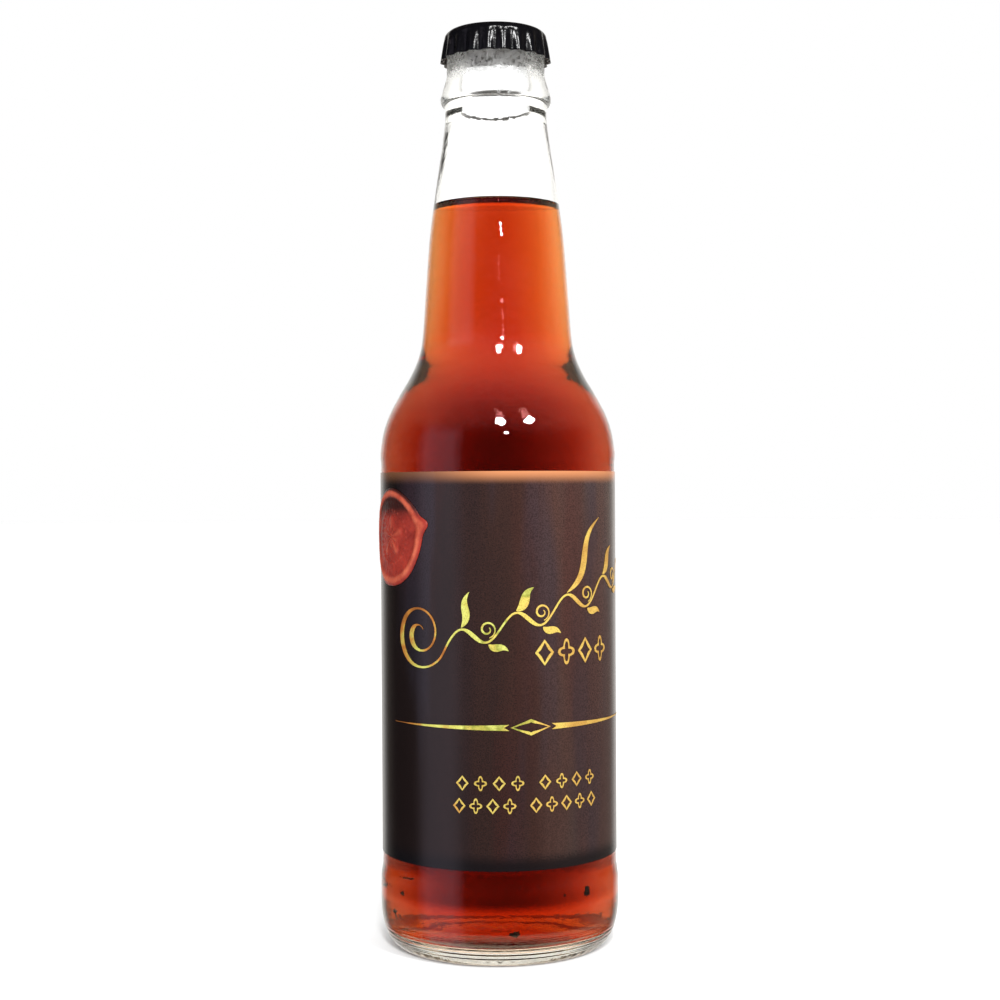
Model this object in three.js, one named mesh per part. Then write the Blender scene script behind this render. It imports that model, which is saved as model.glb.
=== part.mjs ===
// A long-neck glass soda bottle with its soda, a crimped crown cap and a wrap-around label.
// The label carries a wax-style seal and gold foil ornaments.
// Millimetres, +Z up. The origin is the centre of the base, on the surface it stands on.
// The label's front faces -Y. Angles round the bottle are measured from -Y towards +X.
import * as THREE from 'three';

// ---- Driving dimensions: glass ----
const BASE_PUNT_H = 2.6;        // underside push-up above the table
const BEARING_IN_R = 23.2;      // flat ring that the bottle stands on
const BEARING_OUT_R = 25.8;
const HEEL_R = 30.7;            // lower contact band, the widest part
const HEEL_H = 11;              // height of the rounded heel
const HEEL_BAND_TOP = 17;
const PANEL_R = 30.2;           // recessed label panel
const PANEL_BOTTOM = 21.5;
const PANEL_TOP = 123.5;
const SHOULDER_R = 30.35;       // upper contact band
const SHOULDER_Z = 125;
const NECK_END = [13.1, 212.4]; // [radius, height] where the neck meets the bead
const BEAD = { base: 214.4, peak: 217.2, top: 222.8, r: 14.3 };
const COVE_R = 12.65;
const COVE_TOP = 229;
const LOCK_RING_R = 13.15;      // ring that the crown grips
const LOCK_RING_Z = 230.1;
const LIP_START_Z = 231.4;
const LIP_TOP = 233.6;
const LIP_FLAT_OUT_R = 11.15;
const LIP_FLAT_IN_R = 9.4;
const BORE_R = 8.2;
const BORE_END_Z = 225;
const INNER_R = 27.6;           // inside of the body
const INNER_TOP = 125;
const FLOOR = { cornerR: 23.4, cornerTop: 8.6, low: 4.1, centre: 5.3 };

// ---- Driving dimensions: soda, crown, label ----
const FILL_Z = 190.3;
const SODA_GAP = 0.15;
const CROWN_TOP = 235;
const CROWN_EDGE = 227.5;
const CROWN_R = 14.4;           // over the flute crests at the edge
const CROWN_SHEET = 0.24;
const CROWN_CORNER_R = 1.9;
const CROWN_CORNER_START = 11.6;
const FLUTES = 21;
const FLUTE_DEPTH = 0.72;
const LINER = { r: 12.1, top: 234.7, face: 233.7, recess: 234.2, recessR: 8.8 };
const LABEL_BOTTOM = 24.1;
const LABEL_TOP = 121.2;
const LABEL_IN_R = 30.28;
const LABEL_THICKNESS = 0.1;
const LABEL_LAP_STEPS = 2;      // the label's end lies over its start at the back
const FOIL_R = 30.48;
const FOIL_THICKNESS = 0.08;

// ---- Where the artwork sits on the label ----
const ART_CENTRE = THREE.MathUtils.degToRad(14.8);
const RULE_Z = 59;
const RULE_START = 5.7;         // from the art centre to the thick end of a rule
const RULE_END = 38.6;
const LOZENGE = { halfWidth: 5.1, halfHeight: 2.0, stroke: 0.72 };
const SEAL_ANGLE = THREE.MathUtils.degToRad(-61);
const SEAL_Z = 105;
const SEAL_R = 12.3;

// ---- Mesh resolution ----
const BOTTLE_SIDES = 36;
const LABEL_SIDES = 96;
const CROWN_SIDES = FLUTES * 4;
const ORNAMENT_SIDES = 12;
const SEAL_SIDES = 32;

// ---- Materials ----
function finish(color, roughness, metalness = 0) {
  return new THREE.MeshStandardMaterial({ color, roughness, metalness });
}
const GLASS = finish(0xf2f5f2, 0.05);
const SODA = finish(0x8c1a0a, 0.1);
const BLACK_ENAMEL = finish(0x17161a, 0.25, 0.2);
const LINER_PLASTIC = finish(0xb9b7ae, 0.6);
const LABEL_PRINT = finish(0x3d2823, 0.4);
const SEAL_WAX = finish(0x9e3a24, 0.5);
const GOLD_FOIL = finish(0xc9b45a, 0.25, 1);

// ---- Profile helpers: every profile is a list of (radius, height) ----
function point(r, z) {
  return new THREE.Vector2(r, z);
}

function arc(centreR, centreZ, radiusR, radiusZ, fromDeg, toDeg, steps) {
  return Array.from({ length: steps + 1 }, (_, i) => {
    const angle = THREE.MathUtils.degToRad(fromDeg + ((toDeg - fromDeg) * i) / steps);
    return point(centreR + radiusR * Math.cos(angle), centreZ + radiusZ * Math.sin(angle));
  });
}

function smoothLine(corners, steps) {
  return new THREE.SplineCurve(corners.map(([r, z]) => point(r, z))).getPoints(steps);
}

// ---- Closed meshes ----
function closedMesh(name, positions, triangles, material) {
  const geometry = new THREE.BufferGeometry();
  geometry.setAttribute('position', new THREE.Float32BufferAttribute(positions.flat(), 3));
  geometry.setIndex(triangles.flat());
  return named(name, geometry, material);
}

function named(name, geometry, material) {
  const mesh = new THREE.Mesh(geometry, material);
  mesh.name = name;
  return mesh;
}

// A turned solid whose profile starts and ends on the axis, running anticlockwise
// from the underside, up the outside and back down the middle.
function turned(name, profile, sides, material) {
  const geometry = new THREE.LatheGeometry(profile, sides);
  geometry.rotateX(Math.PI / 2);
  return named(name, geometry, material);
}

function onBottle(angle, radius, z) {
  return [radius * Math.sin(angle), -radius * Math.cos(angle), z];
}

// Joins sections of equal length into a tube. Each section lists its corners in turn.
function sweptTriangles(sectionCount, corners, isRing) {
  const triangles = [];
  const spans = isRing ? sectionCount : sectionCount - 1;
  for (let i = 0; i < spans; i += 1) {
    const a = i * corners;
    const b = ((i + 1) % sectionCount) * corners;
    for (let c = 0; c < corners; c += 1) {
      const d = (c + 1) % corners;
      triangles.push([a + c, b + c, b + d], [a + c, b + d, a + d]);
    }
  }
  if (!isRing) {
    const last = (sectionCount - 1) * corners;
    for (let c = 1; c < corners - 1; c += 1) {
      triangles.push([0, c, c + 1], [last, last + c + 1, last + c]);
    }
  }
  return triangles;
}

// ---- Glass and soda ----
function shoulderAndNeck() {
  return smoothLine([
    [SHOULDER_R, SHOULDER_Z + 1.2],
    [29.6, 131.2],
    [28.0, 136],
    [25.2, 141.3],
    [22.3, 146.3],
    [20.3, 151],
    [19.3, 156],
    [18.4, 168],
    [17.3, 182],
    [15.7, 194],
    [13.9, 206],
    NECK_END,
  ], 17);
}

function finishProfile() {
  return [
    ...smoothLine([
      [13.2, BEAD.base],
      [BEAD.r - 0.3, BEAD.peak - 1.4],
      [BEAD.r, BEAD.peak],
      [BEAD.r - 0.3, BEAD.peak + 1.6],
      [COVE_R, BEAD.top],
    ], 6),
    point(COVE_R, COVE_TOP),
    point(LOCK_RING_R, LOCK_RING_Z),
    ...arc(LIP_FLAT_OUT_R, LIP_START_Z, LOCK_RING_R - LIP_FLAT_OUT_R, LIP_TOP - LIP_START_Z, 0, 90, 3),
    ...arc(LIP_FLAT_IN_R, LIP_TOP - 1.2, LIP_FLAT_IN_R - BORE_R, 1.2, 90, 180, 2),
  ];
}

function innerNeck() {
  return smoothLine([
    [BORE_R, BORE_END_Z],
    [9.2, 215],
    [11.0, 205],
    [12.9, 195],
    [14.0, 186],
    [15.2, 170],
    [16.4, 157],
    [17.6, 151],
    [19.8, 146],
    [22.8, 141],
    [25.3, 136],
    [26.9, 131],
    [INNER_R, INNER_TOP],
  ], 15);
}

function innerFloor() {
  const widthR = INNER_R - FLOOR.cornerR;
  const corner = arc(FLOOR.cornerR, FLOOR.cornerTop, widthR, FLOOR.cornerTop - FLOOR.low, 0, -90, 4);
  return [...corner, point(0, FLOOR.centre)];
}

function glassProfile() {
  const heelWidth = HEEL_R - BEARING_OUT_R;
  return [
    point(0, BASE_PUNT_H),
    point(15, BASE_PUNT_H * 0.65),
    point(BEARING_IN_R, 0),
    ...arc(BEARING_OUT_R, HEEL_H, heelWidth, HEEL_H, -90, 0, 6),
    point(HEEL_R, HEEL_BAND_TOP),
    point(PANEL_R, PANEL_BOTTOM),
    point(PANEL_R, PANEL_TOP),
    point(SHOULDER_R, SHOULDER_Z),
    ...shoulderAndNeck(),
    ...finishProfile(),
    ...innerNeck(),
    ...innerFloor(),
  ];
}

// The radius of a profile at a height between two of its points.
function radiusAt(profile, z) {
  const i = profile.findIndex((p) => p.y < z);
  const above = profile[i - 1];
  return above.clone().lerp(profile[i], (above.y - z) / (above.y - profile[i].y)).x;
}

// The soda fills the bottle's inside up to the fill line, a hair clear of the glass.
function sodaProfile() {
  const wall = innerNeck();
  const surfaceR = radiusAt(wall, FILL_Z) - SODA_GAP;
  const side = wall.filter((p) => p.y < FILL_Z).map((p) => point(p.x - SODA_GAP, p.y));
  const floor = innerFloor().map((p) => point(Math.max(0, p.x - SODA_GAP), p.y + SODA_GAP));
  return [...floor.reverse(), ...side.reverse(), point(surfaceR, FILL_Z), point(0, FILL_Z)];
}

// ---- Crown cap ----
// Each row is [radius, height, share of the flute depth] on the crests of the sheet.
function crownRows(inset) {
  const cornerR = CROWN_CORNER_R - inset;
  const cornerZ = CROWN_TOP - CROWN_CORNER_R;
  const corner = arc(CROWN_CORNER_START, cornerZ, cornerR, cornerR, 90, 0, 3);
  const skirt = [[0.3, 1.4, 0.22], [0.6, 2.9, 0.6], [0.8, 4.4, 0.92]];
  const flare = CROWN_R - CROWN_CORNER_START - CROWN_CORNER_R;
  return [
    ...corner.map((p) => [p.x, p.y, 0]),
    ...skirt.map(([share, drop, depth]) => [
      CROWN_CORNER_START + CROWN_CORNER_R + flare * share - inset, cornerZ - drop, depth,
    ]),
    [CROWN_R - inset, CROWN_EDGE, 1],
  ];
}

function crownPoint([radius, z, depth], angle) {
  const valley = (1 - Math.cos(FLUTES * angle)) / 2;
  return onBottle(angle, radius - FLUTE_DEPTH * depth * valley, z);
}

function crownShell() {
  const outside = crownRows(0);
  const rows = [...outside, ...crownRows(CROWN_SHEET).reverse()];
  const positions = [[0, 0, CROWN_TOP], [0, 0, CROWN_TOP - CROWN_SHEET]];
  const triangles = [];
  for (let side = 0; side < CROWN_SIDES; side += 1) {
    const angle = (side / CROWN_SIDES) * 2 * Math.PI;
    rows.forEach((row) => positions.push(crownPoint(row, angle)));
  }
  for (let side = 0; side < CROWN_SIDES; side += 1) {
    const a = 2 + side * rows.length;
    const b = 2 + ((side + 1) % CROWN_SIDES) * rows.length;
    triangles.push([0, a, b], [1, b + rows.length - 1, a + rows.length - 1]);
    for (let i = 0; i < rows.length - 1; i += 1) {
      triangles.push([a + i, a + i + 1, b + i + 1], [a + i, b + i + 1, b + i]);
    }
  }
  return closedMesh('crown_shell', positions, triangles, BLACK_ENAMEL);
}

function crownLiner() {
  const profile = [
    point(0, LINER.recess),
    point(LINER.recessR, LINER.recess),
    point(LINER.recessR + 0.6, LINER.face),
    point(LINER.r, LINER.face),
    point(LINER.r, LINER.face + 0.6),
    point(LINER.r - 0.5, LINER.top),
    point(0, LINER.top),
  ];
  return turned('crown_liner', profile, BOTTLE_SIDES, LINER_PLASTIC);
}

// ---- Label ----
// The film runs once round the bottle and climbs over its own start by one thickness.
function wrapLabel() {
  const step = (2 * Math.PI) / LABEL_SIDES;
  const climb = LABEL_THICKNESS + 0.04;
  const positions = [];
  const sections = LABEL_SIDES + LABEL_LAP_STEPS + 1;
  for (let i = 0; i < sections; i += 1) {
    const climbed = THREE.MathUtils.clamp((i - (LABEL_SIDES - 3)) / 2, 0, 1);
    const inner = LABEL_IN_R + climb * climbed;
    const outer = inner + LABEL_THICKNESS;
    const angle = -Math.PI + i * step;
    positions.push(onBottle(angle, inner, LABEL_BOTTOM), onBottle(angle, outer, LABEL_BOTTOM));
    positions.push(onBottle(angle, outer, LABEL_TOP), onBottle(angle, inner, LABEL_TOP));
  }
  return closedMesh('wrap_label', positions, sweptTriangles(sections, 4, false), LABEL_PRINT);
}

// ---- Foil: flat outlines bent round the label, placed by distance along it and height ----
function artPoint(along, z, radius) {
  return onBottle(ART_CENTRE + along / FOIL_R, radius, z);
}

// A strip of foil along a centre line, with a width for each of its points.
function foilStrip(name, line, widths) {
  const positions = [];
  line.forEach((p, i) => {
    const before = line[Math.max(0, i - 1)];
    const after = line[Math.min(line.length - 1, i + 1)];
    const across = after.clone().sub(before).normalize().rotateAround(point(0, 0), Math.PI / 2);
    const left = p.clone().addScaledVector(across, widths[i] / 2);
    const right = p.clone().addScaledVector(across, -widths[i] / 2);
    positions.push(artPoint(right.x, right.y, FOIL_R), artPoint(right.x, right.y, FOIL_R + FOIL_THICKNESS));
    positions.push(artPoint(left.x, left.y, FOIL_R + FOIL_THICKNESS), artPoint(left.x, left.y, FOIL_R));
  });
  return closedMesh(name, positions, sweptTriangles(line.length, 4, false), GOLD_FOIL);
}

// A closed outline of foil. outline(angle) gives its outer radius and the stroke's width.
function foilOutline(name, along, z, outline) {
  const positions = [];
  for (let side = 0; side < ORNAMENT_SIDES; side += 1) {
    const angle = (side / ORNAMENT_SIDES) * 2 * Math.PI;
    const { x, y, stroke } = outline(angle);
    const inner = 1 - stroke / Math.hypot(x, y);
    const outside = [along + x, z + y];
    const inside = [along + x * inner, z + y * inner];
    positions.push(artPoint(...outside, FOIL_R), artPoint(...outside, FOIL_R + FOIL_THICKNESS));
    positions.push(artPoint(...inside, FOIL_R + FOIL_THICKNESS), artPoint(...inside, FOIL_R));
  }
  return closedMesh(name, positions, sweptTriangles(ORNAMENT_SIDES, 4, true), GOLD_FOIL);
}

function lozengeOutline(halfWidth, halfHeight, stroke) {
  return (angle) => {
    const reach = 1 / (Math.abs(Math.cos(angle)) / halfWidth + Math.abs(Math.sin(angle)) / halfHeight);
    return { x: reach * Math.cos(angle), y: reach * Math.sin(angle), stroke };
  };
}

function quatrefoilOutline(halfWidth, halfHeight, stroke) {
  return (angle) => {
    const reach = 0.78 + 0.22 * Math.cos(4 * angle);
    return { x: halfWidth * reach * Math.cos(angle), y: halfHeight * reach * Math.sin(angle), stroke };
  };
}

const ORNAMENTS = [lozengeOutline, quatrefoilOutline];

// Ornaments spread evenly from one distance along the label to another.
function ornamentRow(name, { count, from, to, z, halfWidth, halfHeight, stroke, gapAfter, gap }) {
  const pitch = (to - from - gap) / (count - 1);
  return Array.from({ length: count }, (_, i) => {
    const along = from + pitch * i + (i >= gapAfter ? gap : 0);
    const outline = ORNAMENTS[i % 2](halfWidth, halfHeight, stroke);
    return foilOutline(`${name}_${i + 1}`, along, z, outline);
  });
}

function ruleStrip(name, direction) {
  const steps = 14;
  const line = [];
  const widths = [];
  for (let i = 0; i <= steps; i += 1) {
    const share = i / steps;
    line.push(point(direction * (RULE_START + (RULE_END - RULE_START) * share), RULE_Z));
    widths.push(0.12 + 1.35 * (1 - share) ** 1.2);
  }
  return foilStrip(name, line, widths);
}

// The scroll: a spiral volute that opens into a rising, waving stem.
const VOLUTE = { x: -28.8, z: 81.4, turns: 1.8, startR: 1.5, endR: 8.9, endDeg: -30 };
const STEM = { trough: -24.1, from: -21.5, to: 36.6, mid: 78.2, rise: 0.3, wave: 2.5, period: 13.5 };

function volutePoint(share) {
  const angle = THREE.MathUtils.degToRad(VOLUTE.endDeg) - (1 - share) * VOLUTE.turns * 2 * Math.PI;
  const radius = VOLUTE.startR + (VOLUTE.endR - VOLUTE.startR) * share;
  return point(VOLUTE.x + 0.92 * radius * Math.cos(angle), VOLUTE.z + radius * Math.sin(angle));
}

function stemPoint(along) {
  const fromTrough = along - STEM.trough;
  const phase = (fromTrough / STEM.period) * 2 * Math.PI;
  return point(along, STEM.mid + STEM.rise * fromTrough - STEM.wave * Math.cos(phase));
}

function scrollLine() {
  const turnSteps = 40;
  const stemSteps = 36;
  const volute = Array.from({ length: turnSteps + 1 }, (_, i) => volutePoint(i / turnSteps));
  const stem = Array.from({ length: stemSteps + 1 }, (_, i) => (
    stemPoint(STEM.from + ((STEM.to - STEM.from) * i) / stemSteps)));
  return [...volute, ...stem];
}

// Broad-nib pen strokes: thick where the line runs up and down, thin where it runs across.
function penWidths(line, thin, thick) {
  return line.map((p, i) => {
    const before = line[Math.max(0, i - 1)];
    const after = line[Math.min(line.length - 1, i + 1)];
    const run = after.clone().sub(before).normalize();
    const taper = Math.min(1, (i + 2) / 8, (line.length - i + 1) / 8);
    return (thin + (thick - thin) * Math.max(0, -run.y) ** 1.5) * taper;
  });
}

function foilScroll() {
  const line = scrollLine();
  return foilStrip('foil_scroll', line, penWidths(line, 0.5, 1.5));
}

// A leaf: from its foot to its tip, bowed to and fro, broadest near its foot.
function foilLeaf(name, foot, reach, width) {
  const steps = 10;
  const across = reach.clone().rotateAround(point(0, 0), Math.PI / 2).normalize();
  const line = [];
  const widths = [];
  for (let i = 0; i <= steps; i += 1) {
    const share = i / steps;
    const bend = -LEAF_BOW * reach.length() * Math.sin(2 * Math.PI * share);
    line.push(foot.clone().addScaledVector(reach, share).addScaledVector(across, bend));
    widths.push(0.12 + width * Math.sin(Math.PI * share ** 0.8));
  }
  return foilStrip(name, line, widths);
}

// A tendril: a thin spiral that winds in above a trough of the stem.
function foilCurl(name, trough) {
  const steps = 20;
  const line = [];
  for (let i = 0; i <= steps; i += 1) {
    const share = i / steps;
    const angle = THREE.MathUtils.degToRad(CURL.startDeg + CURL.sweepDeg * share);
    const radius = CURL.outR + (CURL.inR - CURL.outR) * share;
    line.push(point(trough.x + radius * Math.cos(angle), trough.y + CURL.lift + radius * Math.sin(angle)));
  }
  return foilStrip(name, line, line.map((_, i) => CURL.width * (0.4 + 0.6 * Math.sin((Math.PI * i) / steps))));
}

const LEAF_BOW = 0.07;
const LEAF_GAP = 0.55;          // from the stem's centre line to a leaf's foot
const UP_LEAVES = [             // one on each crest of the stem: [along, up, width]
  [2.0, 8.6, 1.8], [4.4, 5.6, 2.2], [11.6, 18.2, 1.8], [4.8, 7.0, 2.0],
];
const DOWN_LEAVES = [           // one under each trough
  [4.8, -1.6, 1.7], [4.8, -1.6, 1.7], [5.0, -1.2, 1.7], [4.4, -0.2, 1.5],
];
const CURL = { lift: 3.1, outR: 2.1, inR: 0.6, startDeg: -75, sweepDeg: 480, width: 0.5 };

function foilVine() {
  const crests = UP_LEAVES.map((_, i) => stemPoint(STEM.trough + STEM.period * (i + 0.5)));
  const troughs = DOWN_LEAVES.map((_, i) => stemPoint(STEM.trough + STEM.period * (i + 1)));
  const above = point(0.3, LEAF_GAP);
  const below = point(0.3, -LEAF_GAP);
  return [
    foilScroll(),
    ...UP_LEAVES.map(([x, y, width], i) => (
      foilLeaf(`foil_leaf_up_${i + 1}`, crests[i].add(above), point(x, y), width))),
    ...troughs.map((trough, i) => foilCurl(`foil_curl_${i + 1}`, trough)),
    ...DOWN_LEAVES.map(([x, y, width], i) => (
      foilLeaf(`foil_leaf_down_${i + 1}`, troughs[i].clone().add(below), point(x, y), width))),
  ];
}

// ---- Wax seal ----
// Rows run from the centre of the seal to its edge: [share of the radius, height].
const SEAL_ROWS = [
  [0.16, 0.3], [0.34, 0.3], [0.42, 0.14], [0.74, 0.14], [0.8, 0.42], [0.93, 0.46], [1, 0.1],
];
const SEAL_FOOT_R = 30.47;

function sealEdge(angle) {
  const wobble = 0.25 * Math.sin(3 * angle + 0.6) + 0.18 * Math.sin(5 * angle);
  const drip = 1.9 * Math.exp(-(((angle - 0.24) / 0.13) ** 2));
  return SEAL_R + wobble + drip;
}

function sealPoint(share, height, angle) {
  const edge = share > 0.9 ? sealEdge(angle) : SEAL_R;
  const star = share < 0.4 ? 1 + 0.2 * Math.cos(5 * (angle - Math.PI / 2)) : 1;
  const reach = edge * share * star;
  const around = SEAL_ANGLE + (reach * Math.cos(angle)) / SEAL_FOOT_R;
  return onBottle(around, SEAL_FOOT_R + height, SEAL_Z + reach * Math.sin(angle));
}

function waxSeal() {
  const rows = [...SEAL_ROWS, ...SEAL_ROWS.map(([share]) => [share, 0]).reverse()];
  const positions = [onBottle(SEAL_ANGLE, SEAL_FOOT_R + 0.3, SEAL_Z), onBottle(SEAL_ANGLE, SEAL_FOOT_R, SEAL_Z)];
  const triangles = [];
  for (let side = 0; side < SEAL_SIDES; side += 1) {
    const angle = (side / SEAL_SIDES) * 2 * Math.PI - Math.PI;
    rows.forEach(([share, height]) => positions.push(sealPoint(share, height, angle)));
  }
  for (let side = 0; side < SEAL_SIDES; side += 1) {
    const a = 2 + side * rows.length;
    const b = 2 + ((side + 1) % SEAL_SIDES) * rows.length;
    triangles.push([0, a, b], [1, b + rows.length - 1, a + rows.length - 1]);
    for (let i = 0; i < rows.length - 1; i += 1) {
      triangles.push([a + i, a + i + 1, b + i + 1], [a + i, b + i + 1, b + i]);
    }
  }
  return closedMesh('wax_seal', positions, triangles, SEAL_WAX);
}

// ---- Assembly ----
function foilGroup() {
  const group = new THREE.Group();
  group.add(...foilVine());
  group.add(ruleStrip('foil_rule_left', -1), ruleStrip('foil_rule_right', 1));
  const { halfWidth, halfHeight, stroke } = LOZENGE;
  group.add(foilOutline('foil_lozenge', 0, RULE_Z, lozengeOutline(halfWidth, halfHeight, stroke)));
  group.add(...ornamentRow('foil_mark', {
    count: 4, from: 3.6, to: 21.9, z: 77, halfWidth: 2.5, halfHeight: 3.2, stroke: 0.75, gapAfter: 4, gap: 0,
  }));
  group.add(...ornamentRow('foil_upper_bead', {
    count: 8, from: -17, to: 17.2, z: 45.5, halfWidth: 1.6, halfHeight: 1.85, stroke: 0.5, gapAfter: 4, gap: 2.4,
  }));
  group.add(...ornamentRow('foil_lower_bead', {
    count: 9, from: -17.8, to: 17.8, z: 40, halfWidth: 1.6, halfHeight: 1.9, stroke: 0.5, gapAfter: 4, gap: 2.4,
  }));
  return group;
}

const bottle = new THREE.Group();
bottle.add(turned('glass_bottle', glassProfile(), BOTTLE_SIDES, GLASS));
bottle.add(turned('soda', sodaProfile(), BOTTLE_SIDES, SODA));

const label = new THREE.Group();
label.add(wrapLabel(), waxSeal(), foilGroup());

const crown = new THREE.Group();
crown.add(crownShell(), crownLiner());

const assembly = new THREE.Group();
assembly.add(bottle, label, crown);

export default assembly;
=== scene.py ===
"""A long-neck glass soda bottle: the looks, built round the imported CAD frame.

Lengths in the constants are millimetres unless a name says otherwise, and M turns them into
the frame's metres. Angles round the bottle run from -Y (the label's front) towards +X.
"""

import math

import bpy
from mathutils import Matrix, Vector, noise

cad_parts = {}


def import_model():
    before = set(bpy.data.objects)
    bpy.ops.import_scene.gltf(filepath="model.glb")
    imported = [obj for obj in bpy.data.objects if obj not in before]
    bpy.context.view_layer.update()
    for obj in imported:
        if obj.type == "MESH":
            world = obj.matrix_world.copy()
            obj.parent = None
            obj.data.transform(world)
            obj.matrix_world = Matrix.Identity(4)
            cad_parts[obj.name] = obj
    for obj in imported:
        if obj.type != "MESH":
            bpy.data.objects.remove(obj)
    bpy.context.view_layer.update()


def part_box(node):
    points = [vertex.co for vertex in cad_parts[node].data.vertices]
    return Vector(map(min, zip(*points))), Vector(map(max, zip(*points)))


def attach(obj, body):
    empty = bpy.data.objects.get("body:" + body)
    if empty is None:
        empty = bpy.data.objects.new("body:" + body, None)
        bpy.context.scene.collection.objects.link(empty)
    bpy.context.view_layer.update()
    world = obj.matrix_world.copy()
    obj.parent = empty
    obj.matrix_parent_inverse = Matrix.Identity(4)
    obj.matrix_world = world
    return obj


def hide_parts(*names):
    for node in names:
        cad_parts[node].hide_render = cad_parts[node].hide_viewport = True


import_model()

M = 0.001

# ---- Sizes that the CAD model fixes, in millimetres -------------------------------------
_, GLASS_HIGH = (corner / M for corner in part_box("glass_bottle"))
_, SODA_HIGH = (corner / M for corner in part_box("soda"))
LABEL_LOW, LABEL_HIGH = (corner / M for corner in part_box("wrap_label"))
SHELL_LOW, SHELL_HIGH = (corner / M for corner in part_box("crown_shell"))
LINER_LOW, LINER_HIGH = (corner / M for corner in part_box("crown_liner"))

HEEL_R = GLASS_HIGH.x
LIP_TOP = GLASS_HIGH.z
FILL_Z = SODA_HIGH.z
CROWN_TOP = SHELL_HIGH.z
CROWN_EDGE = SHELL_LOW.z
CROWN_R = -SHELL_LOW.y
LABEL_OUT_R = -LABEL_LOW.y
LABEL_BOTTOM = LABEL_LOW.z
LABEL_TOP = LABEL_HIGH.z

# ---- The glass's own proportions --------------------------------------------------------
BEARING_IN_R, BEARING_OUT_R = 23.2, 25.8
PUNT_H = 2.6
HEEL_H, HEEL_BAND_TOP = 11, 17
PANEL_R, PANEL_BOTTOM, PANEL_TOP = 30.2, 21.5, 123.5
SHOULDER_R, SHOULDER_Z = 30.35, 125
COVE_R, COVE_BOTTOM, COVE_TOP = 12.65, 224, 229
LOCK_RING_R, LOCK_RING_Z, BORE_R = 13.0, 230.1, 8.2
LIP_FLAT_IN_R, LIP_FLAT_OUT_R, LIP_START_Z, LIP_IN_ROUND = 9.4, 11.15, 231.4, 1.2
SHOULDER_POINTS = [
    (SHOULDER_R, 126.2), (29.6, 131.2), (28.0, 136), (25.2, 141.3), (22.3, 146.3), (20.3, 151),
    (19.3, 156), (18.4, 168), (17.3, 182), (15.7, 194), (13.9, 206), (13.1, 212.4),
]
BEAD_POINTS = [
    (13.1, 212.6), (13.25, 215.7), (13.95, 216.3), (14.3, 217.3), (14.05, 218.9), (13.25, 221.4),
    (12.65, 223.6),
]
INNER_POINTS = [
    (BORE_R, 225), (9.2, 215), (11.0, 205), (12.9, 195), (14.0, 186), (15.2, 170), (16.4, 157),
    (17.6, 151), (19.8, 146), (22.8, 141), (25.3, 136), (26.9, 131), (27.6, 125),
]
INNER_R, INNER_WALL_TOP = INNER_POINTS[-1]
FLOOR_CORNER_R, FLOOR_CORNER_TOP, FLOOR_LOW, FLOOR_CENTRE = 23.4, 8.6, 4.1, 5.3

# ---- The label's artwork ----------------------------------------------------------------
ART_CENTRE = math.radians(14.8)
FOIL_R = 30.48
FOIL_THICKNESS = 0.08
SEAL_ANGLE, SEAL_Z, SEAL_R, SEAL_FOOT_R = math.radians(-61), 105, 12.3, 30.47

BOTTLE_SIDES = 240


# ---- Mesh helpers -----------------------------------------------------------------------
def make_mesh(name, points, faces, material, body):
    """A smooth-shaded piece from points in millimetres, riding on a CAD body."""
    mesh = bpy.data.meshes.new(name)
    mesh.from_pydata([Vector(p) * M for p in points], [], faces)
    mesh.validate()
    mesh.shade_smooth()
    piece = bpy.data.objects.new(name, mesh)
    bpy.context.scene.collection.objects.link(piece)
    mesh.materials.append(material)
    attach(piece, body)
    return piece


def around(angle, radius, z):
    return (radius * math.sin(angle), -radius * math.cos(angle), z)


def spline(points, steps_per_span):
    """A Catmull-Rom curve through points."""
    line = []
    ends = [points[0]] + list(points) + [points[-1]]
    for i in range(1, len(ends) - 2):
        a, b, c, d = (Vector(ends[k]) for k in range(i - 1, i + 3))
        for s in range(steps_per_span):
            t = s / steps_per_span
            bend = (2 * a - 5 * b + 4 * c - d) * t * t + (3 * b - a - 3 * c + d) * t ** 3
            line.append(tuple((2 * b + (c - a) * t + bend) / 2))
    return line + [tuple(points[-1])]


def arc(centre, radii, start_deg, end_deg, steps):
    return [
        (centre[0] + radii[0] * math.cos(t), centre[1] + radii[1] * math.sin(t))
        for t in (math.radians(start_deg + (end_deg - start_deg) * i / steps) for i in range(steps + 1))
    ]


def straight(start, end, steps):
    return [tuple(Vector(start).lerp(Vector(end), i / steps)) for i in range(steps + 1)]


def eased(start, end, steps):
    """From one radius to another over a height, with smooth ends."""
    rows = []
    for i in range(steps + 1):
        t = i / steps
        ease = t * t * (3 - 2 * t)
        rows.append((start[0] + (end[0] - start[0]) * ease, start[1] + (end[1] - start[1]) * t))
    return rows


def without_repeats(profile):
    kept = [profile[0]]
    for p in profile[1:]:
        if (Vector(p) - Vector(kept[-1])).length > 0.004:
            kept.append(p)
    return kept


def column_faces(sides, count, flip=False):
    """Faces over one column of points per side. Points 0 and 1 close the columns' two ends."""
    faces = []
    for i in range(sides):
        a = 2 + i * count
        b = 2 + (i + 1) % sides * count
        faces.append((0, a, b))
        faces.append((1, b + count - 1, a + count - 1))
        faces.extend((a + k, a + k + 1, b + k + 1, b + k) for k in range(count - 1))
    if flip:
        faces = [(face[0], *reversed(face[1:])) for face in faces]
    return faces


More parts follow.
